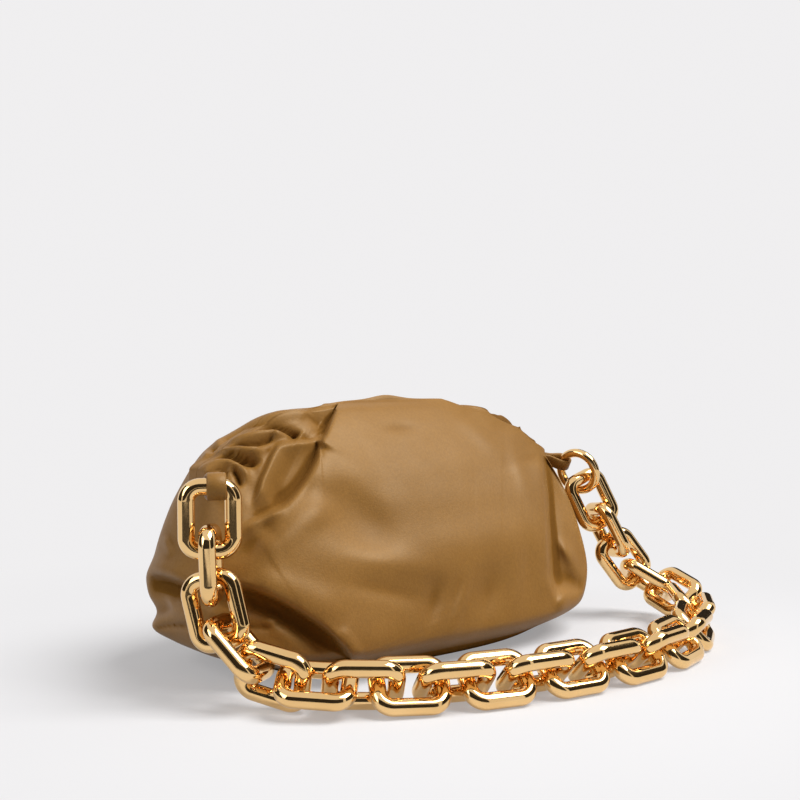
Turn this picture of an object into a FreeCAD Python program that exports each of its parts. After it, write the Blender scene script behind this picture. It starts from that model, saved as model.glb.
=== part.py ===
import FreeCAD, Part
import math
import os

# Chain shoulder bag: a gathered leather pouch on a hinged frame, with a strap of chunky links.
# Millimetres. X runs along the width, the front faces -Y, Z is up.
# The origin is the middle of the flat patch that the bag stands on.

V = FreeCAD.Vector
X_AXIS = V(1, 0, 0)
Y_AXIS = V(0, 1, 0)
Z_AXIS = V(0, 0, 1)

# Pouch: overall form of the leather
bag_width = 310.0
bag_depth = 150.0
hinge_height = 108.0
gather_height = 52.0
gather_rim = 0.5
front_gather_depth = 41.0
rear_gather_depth = 56.0
leather_thickness = 2.2
section_power = 2.5
gather_flat_power = 2.6
gather_round_power = 0.6
section_points = 32
profile_points = 17
walk_steps = 60
walk_share = 0.5
drape_near_share = -0.8
drape_most_share = 4.0

# Levels of the lower pouch as shares of hinge_height, half the width and half the depth.
# The bag leans back, so its front is shallower than its rear towards the top.
level_height_shares = (0.0, 0.05, 0.18, 0.42, 0.65, 0.86, 1.0)
level_width_shares = (0.60, 0.77, 0.94, 1.0, 0.985, 0.945, 0.90)
front_depth_shares = (0.60, 0.78, 1.0, 0.95, 0.855, 0.735, 0.63)
rear_depth_shares = (0.61, 0.81, 1.04, 1.05, 0.99, 0.90, 0.81)

# Lining, facings and pocket
layer_gap = 0.4
lining_thickness = 0.8
lining_height = 66.0
facing_thickness = 1.0
pocket_width = 120.0
pocket_height = 42.0
pocket_thickness = 1.6
pocket_foot = 18.0
pocket_clearance = 0.3

# Hinged frame, its pins and brackets
mouth_gap = 0.4
frame_thickness = 2.5
frame_band = 10.0
frame_edge_gap = 0.3
knuckle_radius = 3.6
knuckle_length = 2.8
knuckle_gap = 0.4
knuckle_end_gap = 0.5
hinge_pin_radius = 2.0
hinge_pin_fit = 0.3
gather_lap_angle = 6.0
gather_end_gap = 0.9
bracket_thickness = 2.0
bracket_width = 14.0
bracket_rise = 12.0
bracket_drop = 8.0
bracket_inset = 0.8
pin_foot = 1.0

# Closing magnets
magnet_count = 5
magnet_diameter = 8.0
magnet_thickness = 1.5
magnet_pitch = 42.0

# Chain links, all alike, and the ring at the right end
link_length = 44.0
link_width = 34.2
link_wire = 9.3
link_corner = 7.5
link_slack = 0.9
route_spare = 35.062061
ring_diameter = 34.0
ring_wire = 6.2

# Leather tabs that hold the chain
tab_width = 10.0
tab_thickness = 2.4
tab_clearance = 0.3
tab_root_rise = 5.0

# Route of the chain from the left tab, over the surface in front, up to the ring:
# shares of half the width, half the depth and the hinge height
route_shares = (
    (-1.018, -0.665, 1.035),
    (-1.020, -0.675, 0.800),
    (-1.020, -0.705, 0.565),
    (-1.000, -0.785, 0.355),
    (-0.950, -0.965, 0.214),
    (-0.865, -1.240, 0.162),
    (-0.710, -1.510, 0.146),
    (-0.480, -1.770, 0.134),
    (-0.180, -1.980, 0.131),
    (0.145, -2.100, 0.131),
    (0.475, -2.110, 0.131),
    (0.770, -1.970, 0.131),
    (1.010, -1.700, 0.133),
    (1.190, -1.370, 0.148),
    (1.290, -1.045, 0.178),
    (1.290, -0.785, 0.230),
    (1.235, -0.630, 0.305),
    (1.172, -0.560, 0.420),
    (1.122, -0.505, 0.565),
    (1.078, -0.445, 0.715),
    (1.050, -0.385, 0.840),
    (1.020, -0.325, 0.960),
    (0.975, -0.235, 1.180),
)

# Roll of the links about the route, in degrees: hanging at the left, on the surface, at the ring
left_roll_angle = 61.0
floor_roll_angle = 135.0
right_roll_angle = 145.0
ring_turn_angle = -62.0
left_roll_count = 1
change_roll_count = 7
right_roll_count = 8

overrun = 1.0

half_width = bag_width / 2
half_depth = bag_depth / 2
gather_end = half_width * level_width_shares[-1] + gather_rim
hinge_line = V(0, 0, hinge_height)
bar_to_bar = link_length - link_wire
bar_offset = link_wire + link_slack
link_pitch = bar_to_bar - bar_offset


def save(shape, name):
    shape.exportStep("parts/" + name + ".step")
    solids = len(shape.Solids)
    print(name, "solids", solids, "valid", shape.isValid(), "volume", round(shape.Volume, 1))


def cylinder(radius, start, axis, length):
    return Part.makeCylinder(radius, length, start, axis)


def box_between(low, high):
    size = high - low
    return Part.makeBox(size.x, size.y, size.z, low)


def section_wire(width, front_depth, rear_depth, height):
    points = []
    for i in range(section_points):
        angle = 2 * math.pi * i / section_points
        c = math.cos(angle)
        s = math.sin(angle)
        x = width * math.copysign(abs(c) ** (2 / section_power), c)
        depth = front_depth if s < 0 else rear_depth
        y = depth * math.copysign(abs(s) ** (2 / section_power), s)
        points.append(V(x, y, height))
    curve = Part.BSplineCurve()
    curve.interpolate(points, PeriodicFlag=True)
    return Part.Wire([curve.toShape()])


def pouch_solid(inset):
    wires = []
    rows = zip(level_height_shares, level_width_shares, front_depth_shares, rear_depth_shares)
    for height_share, width_share, front_share, rear_share in rows:
        width = half_width * width_share - inset
        front_depth = half_depth * front_share - inset
        rear_depth = half_depth * rear_share - inset
        height = inset + (hinge_height - inset) * height_share
        wires.append(section_wire(width, front_depth, rear_depth, height))
    return Part.makeLoft(wires, True, False)


def front_half(shape, sign):
    # sign -1 keeps the front, +1 keeps the rear
    reach = bag_width
    low = V(-reach, min(0, sign * reach), -reach)
    high = V(reach, max(0, sign * reach), reach)
    return shape.common(box_between(low, high))


def pouch_shell(outer_inset, thickness):
    return pouch_solid(outer_inset).cut(pouch_solid(outer_inset + thickness))


def panel(sign):
    return front_half(pouch_shell(0, leather_thickness), sign)


def lining():
    inset = leather_thickness + layer_gap
    shell = pouch_shell(inset, lining_thickness)
    keep = box_between(V(-bag_width, -bag_width, 0), V(bag_width, bag_width, lining_height))
    return shell.common(keep)


def slip_pocket():
    # patch pocket that follows the rear wall, just inside the lining
    inset = leather_thickness + layer_gap + lining_thickness + pocket_clearance
    patch = box_between(
        V(-pocket_width / 2, 0, pocket_foot),
        V(pocket_width / 2, bag_depth, pocket_foot + pocket_height),
    )
    return pouch_shell(inset, pocket_thickness).common(patch)


def gather_radius(x):
    return gather_height * (1 - abs(x / gather_end) ** gather_flat_power) ** gather_round_power


def arch_points(end, inset):
    points = []
    for i in range(profile_points):
        x = end * (2 * i / (profile_points - 1) - 1)
        points.append(V(x, 0, hinge_height + gather_radius(x) - inset))
    return points


def curve_edge(points):
    curve = Part.BSplineCurve()
    curve.interpolate(points)
    return curve.toShape()


def arch_face(end, inset, band):
    # flat face between two arches
    upper = arch_points(end, inset)
    lower = arch_points(end, inset + band)
    lower.reverse()
    return Part.Face(Part.Wire([
        curve_edge(upper),
        Part.makeLine(upper[-1], lower[0]),
        curve_edge(lower),
        Part.makeLine(lower[-1], upper[0]),
    ]))


def dome_face(end, inset):
    # flat face between an arch and the hinge line
    upper = arch_points(end, inset)
    right = V(end, 0, hinge_height)
    left = V(-end, 0, hinge_height)
    return Part.Face(Part.Wire([
        curve_edge(upper),
        Part.makeLine(upper[-1], right),
        Part.makeLine(right, left),
        Part.makeLine(left, upper[0]),
    ]))


def frame_face_offset():
    return mouth_gap / 2 + magnet_thickness


def bracket_face():
    # outer face of the hinge bracket, just inside the leather of the end wall
    return half_width * level_width_shares[-1] - leather_thickness - bracket_inset


def shell_end():
    return bracket_face() - bracket_thickness - gather_end_gap


def knuckle_start():
    # inner end of the two knuckles, which stand side by side against the bracket
    return bracket_face() - bracket_thickness - knuckle_end_gap - 2 * knuckle_length - knuckle_gap


def quarter_dome(sign, inset, lap_angle):
    # the room under the arch, turned about the hinge line and drawn to an oval
    depth = front_gather_depth if sign < 0 else rear_gather_depth
    dome = dome_face(shell_end(), inset).revolve(hinge_line, X_AXIS, -sign * (90 + lap_angle))
    stretch = FreeCAD.Matrix()
    stretch.scale(1, (depth - inset) / (gather_height - inset), 1)
    return dome.transformGeometry(stretch)


def quarter_shell(sign, outer_inset, thickness):
    outer = quarter_dome(sign, outer_inset, gather_lap_angle)
    room = quarter_dome(sign, outer_inset + thickness, 2 * gather_lap_angle)
    shell = outer.cut(room)
    edge = frame_face_offset() + frame_thickness
    reach = bag_width
    low = V(-reach, min(sign * edge, sign * reach), -reach)
    high = V(reach, max(sign * edge, sign * reach), reach)
    return shell.common(box_between(low, high))


def gather(sign):
    return quarter_shell(sign, 0, leather_thickness)


def facing(sign):
    return quarter_shell(sign, leather_thickness + layer_gap, facing_thickness)


def knuckle_place(sign):
    # the front frame holds the inner knuckle of each hinge, the rear frame the outer one
    return knuckle_start() if sign < 0 else knuckle_start() + knuckle_length + knuckle_gap


def frame(sign):
    inset = leather_thickness + layer_gap + facing_thickness + frame_edge_gap
    start = knuckle_place(sign)
    arch = arch_face(start + knuckle_length, inset, frame_band)
    near = sign * frame_face_offset()
    band = arch.extrude(V(0, sign * frame_thickness, 0))
    band.translate(V(0, near, 0))
    clear = knuckle_radius + knuckle_gap
    band = band.cut(cylinder(clear, V(-bag_width, 0, hinge_height), X_AXIS, 2 * bag_width))
    below = V(bag_width, bag_width, hinge_height)
    band = band.cut(box_between(V(-bag_width, -bag_width, 0), below))
    solid = band
    low_y = min(near, near + sign * frame_thickness)
    for side in (-1, 1):
        low_x = min(side * start, side * (start + knuckle_length))
        high_x = low_x + knuckle_length
        leg_top = hinge_height + gather_radius(start + knuckle_length) - inset - frame_band / 2
        leg = box_between(V(low_x, low_y, hinge_height), V(high_x, low_y + frame_thickness, leg_top))
        knuckle = cylinder(knuckle_radius, V(low_x, 0, hinge_height), X_AXIS, knuckle_length)
        solid = solid.fuse(leg).fuse(knuckle)
    bore = hinge_pin_radius + hinge_pin_fit
    solid = solid.cut(cylinder(bore, V(-bag_width, 0, hinge_height), X_AXIS, 2 * bag_width))
    return solid.removeSplitter()


def magnets(sign):
    inset = leather_thickness + layer_gap + facing_thickness + frame_edge_gap
    discs = []
    for i in range(magnet_count):
        x = magnet_pitch * (i - (magnet_count - 1) / 2)
        z = hinge_height + gather_radius(x) - inset - frame_band / 2
        start = V(x, sign * mouth_gap / 2, z)
        discs.append(cylinder(magnet_diameter / 2, start, V(0, sign, 0), magnet_thickness))
    return Part.makeCompound(discs)


def hinge_pin(side):
    start = knuckle_start() - pin_foot
    return cylinder(hinge_pin_radius, V(side * start, 0, hinge_height), V(side, 0, 0), bracket_face() - start)


def bracket(side):
    outer = side * bracket_face()
    inner = side * (bracket_face() - bracket_thickness)
    low = V(min(outer, inner), -bracket_width / 2, hinge_height - bracket_drop)
    high = V(max(outer, inner), bracket_width / 2, hinge_height + bracket_rise)
    plate = box_between(low, high)
    return plate.cut(cylinder(hinge_pin_radius, V(-bag_width, 0, hinge_height), X_AXIS, 2 * bag_width))


def route_curve(reach_share):
    # reach_share stretches or draws in the part of the route that lies in front of the bag
    points = []
    for x_share, y_share, z_share in route_shares:
        ahead_share = min(0, y_share - drape_near_share)
        y = (y_share + (reach_share - 1) * ahead_share) * half_depth
        points.append(V(x_share * half_width, y, z_share * hinge_height))
    curve = Part.BSplineCurve()
    curve.interpolate(points)
    return curve


# As many links as the drawn route takes
link_count = round((route_curve(1).length() - route_spare) / link_pitch)


def fitted_route():
    # the route drawn in or out a little, so that a whole number of links fills it
    chain_run = link_count * link_pitch + route_spare
    low = 0
    high = drape_most_share
    for _ in range(walk_steps):
        middle = (low + high) / 2
        if route_curve(middle).length() < chain_run:
            low = middle
        else:
            high = middle
    return route_curve(low)


def joint_points():
    # points where neighbouring links meet, one pitch apart along the route
    curve = fitted_route()
    place = curve.FirstParameter
    points = [curve.value(place)]
    for _ in range(link_count):
        low = place
        high = place + (curve.LastParameter - place) * walk_share
        for _ in range(walk_steps):
            middle = (low + high) / 2
            if (curve.value(middle) - points[-1]).Length < link_pitch:
                low = middle
            else:
                high = middle
        place = low
        points.append(curve.value(place))
    return points


def unit(vector):
    return vector / vector.Length


def turned(vector, axis, degrees):
    return FreeCAD.Rotation(axis, degrees).multVec(vector)


def link_roll(number):
    if number <= left_roll_count:
        return left_roll_angle
    if number <= left_roll_count + change_roll_count:
        share = (number - left_roll_count) / change_roll_count
        return left_roll_angle + (floor_roll_angle - left_roll_angle) * share
    right_first = link_count - right_roll_count
    if number < right_first:
        return floor_roll_angle
    share = (number - right_first) / right_roll_count
    return floor_roll_angle + (right_roll_angle - floor_roll_angle) * share


def link_ways(points):
    # direction and width direction of each link, carried from the middle link without twist
    along = [unit(points[i + 1] - points[i]) for i in range(link_count)]
    middle = link_count // 2
    rear = [None] * link_count
    rear[middle] = unit(Z_AXIS.cross(along[middle]))
    for i in range(middle + 1, link_count):
        rear[i] = FreeCAD.Rotation(along[i - 1], along[i]).multVec(rear[i - 1])
    for i in range(middle - 1, -1, -1):
        rear[i] = FreeCAD.Rotation(along[i + 1], along[i]).multVec(rear[i + 1])
    ways = []
    for i in range(link_count):
        roll = link_roll(i + 1) + (90 if i % 2 else 0)
        ways.append((along[i], turned(rear[i], along[i], roll)))
    return ways


def bar_step(first, second):
    # from the far bar of one link to the near bar of the next, square to both bars
    normal = unit(first[1].cross(second[1]))
    if normal.dot(first[0]) > 0:
        normal = -normal
    return normal * bar_offset


def link_frames(points):
    # centre, direction and width direction of each link, hooked one to the next
    ways = link_ways(points)
    middle = link_count // 2
    centres = [None] * link_count
    centres[middle] = (points[middle] + points[middle + 1]) / 2
    for i in range(middle + 1, link_count):
        step = bar_step(ways[i - 1], ways[i])
        centres[i] = centres[i - 1] + (ways[i - 1][0] + ways[i][0]) * bar_to_bar / 2 + step
    for i in range(middle - 1, -1, -1):
        step = bar_step(ways[i], ways[i + 1])
        centres[i] = centres[i + 1] - (ways[i][0] + ways[i + 1][0]) * bar_to_bar / 2 - step
    return [(centre, along, way) for centre, (along, way) in zip(centres, ways)]


def wire_corner(centre, start_way, end_way):
    # quarter bend of the link's wire, from the tip of start_way to the tip of end_way
    axis = start_way.cross(end_way)
    disc = Part.Face(Part.Wire([Part.makeCircle(link_wire / 2, centre + start_way * link_corner, end_way)]))
    return disc.revolve(centre, axis, 90)


def link_solid():
    # link in its own frame: length along X, width along Y, centre at the origin
    half_long = (link_length - link_wire) / 2
    half_wide = (link_width - link_wire) / 2
    straight_long = half_long - link_corner
    straight_wide = half_wide - link_corner
    radius = link_wire / 2
    solid = None
    for i in range(4):
        way = turned(X_AXIS, Z_AXIS, 90 * i)
        side = turned(Y_AXIS, Z_AXIS, 90 * i)
        reach = straight_long if i % 2 == 0 else straight_wide
        span = straight_wide if i % 2 == 0 else straight_long
        centre = way * reach + side * span
        end = way * (reach + link_corner) - side * span
        pieces = [wire_corner(centre, way, side), cylinder(radius, end, side, 2 * span)]
        for piece in pieces:
            solid = piece if solid is None else solid.fuse(piece)
    return solid.removeSplitter()


def placed(shape, centre, along, width_way):
    copy = shape.copy()
    rotation = FreeCAD.Rotation(along, width_way, along.cross(width_way), "XYZ")
    copy.Placement = FreeCAD.Placement(centre, rotation)
    return copy


def ring_frame(frames):
    # the ring hangs in line with the last link, turned against it
    centre, along, width_way = frames[-1]
    last_bar = centre + along * bar_to_bar / 2
    ring_bar = last_bar - along * ((link_wire + ring_wire) / 2 + link_slack)
    ring_centre = ring_bar + along * (ring_diameter - ring_wire) / 2
    return ring_centre, along, turned(width_way, along, ring_turn_angle)


def ring_solid(centre, along, width_way, growth):
    ring_radius = (ring_diameter - ring_wire) / 2
    return Part.makeTorus(ring_radius, ring_wire / 2 + growth, centre, along.cross(width_way))


def tab(side, bar_centre, bar_way, bar_wire):
    # strap from the hinge bracket to a loop round a bar of the chain
    bore = bar_wire / 2 + tab_clearance
    outer = bore + tab_thickness
    foot = bar_centre - bar_way * tab_width / 2
    loop = cylinder(outer, foot, bar_way, tab_width)
    stand_off = tab_clearance + abs(bar_way.x) * tab_width / 2
    root = V(side * (bracket_face() + stand_off), 0, hinge_height + tab_root_rise)
    way = bar_centre - root
    way = unit(way - bar_way * way.dot(bar_way))
    lift = way.cross(bar_way)
    corner = bar_centre - bar_way * tab_width / 2 - lift * tab_thickness / 2
    profile = Part.makePolygon([
        corner,
        corner + bar_way * tab_width,
        corner + bar_way * tab_width + lift * tab_thickness,
        corner + lift * tab_thickness,
        corner,
    ])
    strap = Part.Face(profile).extrude(root - bar_centre)
    hole = cylinder(bore, foot - bar_way * overrun, bar_way, tab_width + 2 * overrun)
    return loop.fuse(strap).cut(hole).removeSplitter()


def build_pouch():
    for sign, name in ((-1, "front"), (1, "rear")):
        save(panel(sign), name + "_panel")
        save(gather(sign), name + "_gather")
        save(facing(sign), name + "_facing")
        save(frame(sign), name + "_frame")
        save(magnets(sign), name + "_magnets")
    save(lining(), "lining")
    save(slip_pocket(), "slip_pocket")
    for side, name in ((-1, "left"), (1, "right")):
        save(hinge_pin(side), name + "_hinge_pin")
        save(bracket(side), name + "_hinge_bracket")


def build_chain():
    points = joint_points()
    frames = link_frames(points)
    link = link_solid()
    for i, (centre, along, width_way) in enumerate(frames):
        save(placed(link, centre, along, width_way), "chain_link_%02d" % (i + 1))
    ring_centre, ring_along, ring_way = ring_frame(frames)
    save(ring_solid(ring_centre, ring_along, ring_way, 0), "ring")
    first_centre, first_along, first_way = frames[0]
    first_bar = first_centre - first_along * bar_to_bar / 2
    save(tab(-1, first_bar, first_way, link_wire), "left_tab")
    ring_top = ring_centre + ring_along * (ring_diameter - ring_wire) / 2
    ring_room = ring_solid(ring_centre, ring_along, ring_way, tab_clearance)
    save(tab(1, ring_top, ring_way, ring_wire).cut(ring_room), "right_tab")
    print("left anchor", first_bar)
    print("right anchor", ring_top)
    for i, point in enumerate(points):
        print("joint", i, point)


os.makedirs("parts", exist_ok=True)
build_pouch()
build_chain()
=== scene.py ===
import math

import bpy
import numpy as np
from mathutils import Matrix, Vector


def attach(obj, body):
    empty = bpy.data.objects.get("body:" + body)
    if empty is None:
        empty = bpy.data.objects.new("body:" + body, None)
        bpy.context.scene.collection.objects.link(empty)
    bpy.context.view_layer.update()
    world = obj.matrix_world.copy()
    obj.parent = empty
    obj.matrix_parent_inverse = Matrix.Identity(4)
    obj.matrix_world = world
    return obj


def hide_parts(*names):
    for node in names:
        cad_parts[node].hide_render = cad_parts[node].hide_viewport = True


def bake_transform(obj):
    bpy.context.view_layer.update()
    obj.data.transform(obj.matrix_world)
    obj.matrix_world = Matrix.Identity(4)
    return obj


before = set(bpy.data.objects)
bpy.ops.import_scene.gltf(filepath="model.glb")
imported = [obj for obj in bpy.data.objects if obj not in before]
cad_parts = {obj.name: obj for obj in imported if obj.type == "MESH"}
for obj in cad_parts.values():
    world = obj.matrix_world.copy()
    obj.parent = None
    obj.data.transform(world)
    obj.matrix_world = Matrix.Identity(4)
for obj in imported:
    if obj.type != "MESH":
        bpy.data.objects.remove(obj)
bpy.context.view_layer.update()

# Chain shoulder bag: the leather, lining, tabs, materials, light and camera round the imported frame.
# Metres. X runs along the width, the front faces -Y, Z is up. Tables of the leather are in millimetres.

MM = 0.001

# Camera of the photograph
PHOTO_SIDE = 800
CAMERA_PLACE = (-0.4613, -0.5972, 0.18141)
CAMERA_AZIMUTH = math.radians(-38.41)
CAMERA_PITCH = math.radians(1.65)
CAMERA_LENS = 52.07
SENSOR_WIDTH = 36.0
FOCAL_PX = CAMERA_LENS / SENSOR_WIDTH * PHOTO_SIDE

AHEAD = np.array([
    -math.sin(CAMERA_AZIMUTH) * math.cos(CAMERA_PITCH),
    math.cos(CAMERA_AZIMUTH) * math.cos(CAMERA_PITCH),
    -math.sin(CAMERA_PITCH),
])
RIGHT = np.array([math.cos(CAMERA_AZIMUTH), math.sin(CAMERA_AZIMUTH), 0.0])
UP = np.cross(RIGHT, AHEAD)

# Form of the pouch, level by level in millimetres:
# height, half width, depth to the front, depth to the rear, squareness of the section
POUCH_LEVELS = (
    (0.0, 60.0, 0.0, 0.0, 2.6),
    (0.0, 84.0, 44.0, 46.0, 2.8),
    (2.5, 99.0, 54.0, 57.0, 2.9),
    (8.0, 116.0, 62.0, 65.0, 3.0),
    (22.0, 147.0, 76.0, 80.0, 3.2),
    (45.0, 155.0, 71.0, 79.0, 3.3),
    (70.0, 151.0, 64.0, 74.0, 3.3),
    (95.0, 144.0, 54.0, 67.0, 3.2),
    (113.0, 137.0, 43.0, 58.0, 3.0),
    (130.0, 127.0, 31.0, 48.0, 2.8),
    (145.0, 103.0, 19.0, 36.0, 2.6),
    (155.0, 74.0, 8.0, 20.0, 2.4),
    (160.0, 48.0, 0.8, 3.0, 2.2),
)
HEIGHT, HALF_WIDTH, FRONT_DEPTH, REAR_DEPTH, SQUARENESS = range(5)
DEPTH_COLUMN = {-1: FRONT_DEPTH, 1: REAR_DEPTH}
LEATHER_ROWS = 210
LEATHER_COLUMNS = 460
SECTION_SAMPLES = 600
WIDTH_IN_RUN = 0.25  # weight of a change of width where the rows are spaced
TINY = 1e-9

# Mouth: the halves part from MOUTH_LOW to MOUTH_FULL. Between the blend heights, in metres, the skin passes
# from the fixed bag to the half that turns.
MOUTH_LOW = 106.0
MOUTH_FULL = 118.0
MOUTH_HALF_GAP = 0.15

# How folds are laid on. Pairs say where something sets in and where it is full. A slant is the cosine
# between the surface's normal and the way to the photograph's camera.
TOP_CALM_SHARE = 0.93
LIFT_SLANTS = (0.05, 0.40)
PLEAT_SLANTS = (-0.10, 0.25)
RIM_SLANTS = (0.45, 0.85)
LEAST_SLANT = 0.4
FOOT_SHARE = 0.4
FOOT_HEIGHTS = (0, 20)
MOST_OUT = 8.0
MOST_IN = 13.0
FOLD_SHARE = {1: 1.0, -1: 0.7}  # on the photograph's side, and on the other
FOLD_SPAN = 4
CREASE_ROUND = 0.35
SEAM_COLUMNS = 5
LINE_STEPS = 6

# Room that the folds leave for the steel frame and for the hinge brackets
FRAME_ROOM = 0.6
FRAME_DEPTH = 4.9
FREE_ROOM = 60
FREE_HEIGHTS = (88, 104)
BRACKET_REACH = 138.0
BRACKET_DEPTHS = (-16, -9)
BRACKET_FOOT = (92, 98)
BRACKET_HEAD = (121, 130)

# Painted shade in the leather's hollows: from sharp bends, from broad dips, and low down at the base
HOLLOW_REACH = 4.2
BEND_ROUNDS = 4
LEAST_CELL = 0.05
BROAD_ROWS = 8
BROAD_COLUMNS = 12
BROAD_DEPTH = 4.5
BROAD_SHARE = 0.65
PAINTED_BASE_SHADE = 0.42
UNDER_HEIGHTS = (4, 22)


def smooth(knots, values, at):
    """Monotone cubic through a table."""
    knots = np.asarray(knots, float)
    values = np.asarray(values, float)
    step = np.diff(knots)
    slope = np.diff(values) / step
    tangent = np.empty(len(knots))
    tangent[0] = slope[0]
    tangent[-1] = slope[-1]
    for i in range(1, len(knots) - 1):
        a, b = slope[i - 1], slope[i]
        tangent[i] = 0 if a * b <= 0 else 2 * a * b / (a + b)
    i = np.clip(np.searchsorted(knots, at) - 1, 0, len(step) - 1)
    t = (at - knots[i]) / step[i]
    h00 = (1 + 2 * t) * (1 - t) ** 2
    h10 = t * (1 - t) ** 2
    h01 = t * t * (3 - 2 * t)
    h11 = t * t * (t - 1)
    return (h00 * values[i] + h10 * step[i] * tangent[i]
            + h01 * values[i + 1] + h11 * step[i] * tangent[i + 1])


def ease(start, end, value):
    """Soft step from 0 at the start to 1 at the end."""
    t = np.clip((value - start) / (end - start), 0, 1)
    return t * t * (3 - 2 * t)


def running(steps):
    """Sum of the steps so far, from 0."""
    return np.concatenate([[0], np.cumsum(steps)])


def pouch_grid(side, rows, columns, inset=0.0):
    """Points of half the pouch, side -1 the front or 1 the rear: rows upward, columns from the left."""
    levels = np.array(POUCH_LEVELS)
    inward = np.diff(levels[:, FRONT_DEPTH]) + WIDTH_IN_RUN * np.diff(levels[:, HALF_WIDTH])
    knots = running(np.hypot(np.diff(levels[:, HEIGHT]), inward))
    at = np.linspace(0, knots[-1], rows)
    height = smooth(knots, levels[:, HEIGHT], at)
    width = smooth(knots, levels[:, HALF_WIDTH], at) - inset
    depth = np.maximum(smooth(knots, levels[:, DEPTH_COLUMN[side]], at) - inset, 0)
    power = smooth(knots, levels[:, SQUARENESS], at)
    angle = np.linspace(math.pi, 0, SECTION_SAMPLES)
    c = np.cos(angle)
    s = np.sin(angle)
    grid = np.zeros((rows, columns, 3))
    for i in range(rows):
        x = width[i] * np.sign(c) * np.abs(c) ** (2 / power[i])
        y = depth[i] * np.abs(s) ** (2 / power[i])
        run = running(np.hypot(np.diff(x), np.diff(y)))
        place = np.linspace(0, run[-1], columns)
        grid[i, :, 0] = np.interp(place, run, x)
        grid[i, :, 1] = side * np.interp(place, run, y)
        grid[i, :, 2] = height[i]
    grid[:, [0, -1], 1] = 0
    return grid


def grid_normals(grid, side):
    """Outward unit normals. At the end seams and at the mouth they lie in the plane where the halves meet."""
    along = np.gradient(grid, axis=1)
    upward = np.gradient(grid, axis=0)
    normal = np.cross(along, upward) * -side
    normal[:, [0, -1], 1] = 0
    normal[-1, :, 1] = 0
    length = np.linalg.norm(normal, axis=2, keepdims=True)
    return normal / np.maximum(length, TINY)


def photo_place(points):
    """Pixel of the photograph where each point (in millimetres) is seen."""
    offset = points * MM - np.array(CAMERA_PLACE)
    depth = offset @ AHEAD
    u = PHOTO_SIDE / 2 + FOCAL_PX * (offset @ RIGHT) / depth
    v = PHOTO_SIDE / 2 - FOCAL_PX * (offset @ UP) / depth
    return u, v


def placed(name, data):
    """New object in the scene."""
    thing = bpy.data.objects.new(name, data)
    bpy.context.collection.objects.link(thing)
    return thing


def new_piece(name, points, faces, material, hollow=None):
    """Smooth mesh piece from points in millimetres. Its rest places carry the grain, and hollow its share of
    painted shade.
    """
    mesh = bpy.data.meshes.new(name)
    places = np.asarray(points, float).reshape(-1, 3) * MM
    mesh.from_pydata(places.tolist(), [], faces)
    mesh.update()
    mesh.polygons.foreach_set("use_smooth", [True] * len(mesh.polygons))
    rest = mesh.attributes.new("rest", "FLOAT_VECTOR", "POINT")
    rest.data.foreach_set("vector", places.astype(np.float32).ravel())
    shade = mesh.attributes.new("hollow", "FLOAT", "POINT")
    depth = np.zeros(len(places)) if hollow is None else np.asarray(hollow).ravel()
    shade.data.foreach_set("value", depth.astype(np.float32))
    mesh.materials.append(material)
    return placed(name, mesh)


def grid_faces(rows, columns, flip):
    index = np.arange(rows * columns).reshape(rows, columns)
    a = index[:-1, :-1].ravel()
    b = index[:-1, 1:].ravel()
    c = index[1:, 1:].ravel()
    d = index[1:, :-1].ravel()
    return np.stack([a, d, c, b] if flip else [a, b, c, d], axis=1).tolist()


def grid_piece(name, grid, flip, material, hollow=None):
    rows, columns = grid.shape[:2]
    return new_piece(name, grid, grid_faces(rows, columns, flip), material, hollow)


# Folds of the leather, drawn where the photograph shows them. A lip is the edge of a fold that lies
# over what is next to it: "high" is a place on its upper side, "rise" the share of its height that stands
# out, "edge" the step's width, "reach" and "under" how far its two sides go. A crease is drawn in, a ridge
# stands out. Heights and depths are in millimetres, the rest in the photograph's pixels. "fade" is the share
# of the line over which a fold sets in and dies out.
LIPS = (
    # main panel's left edge, from the mouth down to the lower left
    {"high": (400, 480), "height": 14, "rise": 0.5, "edge": 2.6, "reach": 42, "under": 16,
     "fade": (0.0, 0.35),
     "line": ((334, 411), (329, 422), (322, 439), (314, 461), (301, 484), (285, 503), (266, 514),
              (248, 523), (232, 536))},
    # pleat to the left of it: its top edge and its left rim
    {"high": (290, 470), "height": 10, "rise": 0.6, "edge": 2.2, "reach": 14, "under": 10,
     "fade": (0.02, 0.2),
     "line": ((321, 439), (308, 440), (294, 441), (279, 444), (273, 452), (267, 465), (261, 479),
              (257, 493), (250, 508))},
    # overhang at the left end
    {"high": (165, 560), "height": 11, "rise": 0.5, "edge": 3.0, "reach": 14, "under": 12,
     "fade": (0.35, 0.4),
     "line": ((143, 573), (158, 575), (171, 579), (186, 586), (200, 593))},
    # deep fold under the main panel
    {"high": (330, 580), "height": 20, "rise": 0.4, "edge": 2.4, "reach": 46, "under": 24,
     "fade": (0.25, 0.12),
     "line": ((226, 578), (240, 585), (260, 593), (281, 603), (298, 613), (314, 623), (329, 634),
              (342, 646), (350, 656), (356, 672))},
    # right edge of the main panel, over the sunken end
    {"high": (520, 540), "height": 15, "rise": 0.35, "edge": 2.2, "reach": 16, "under": 18,
     "fade": (0.1, 0.25),
     "line": ((540, 452), (544, 470), (547, 495), (548, 520), (550, 548), (552, 576), (555, 604))},
)
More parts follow.
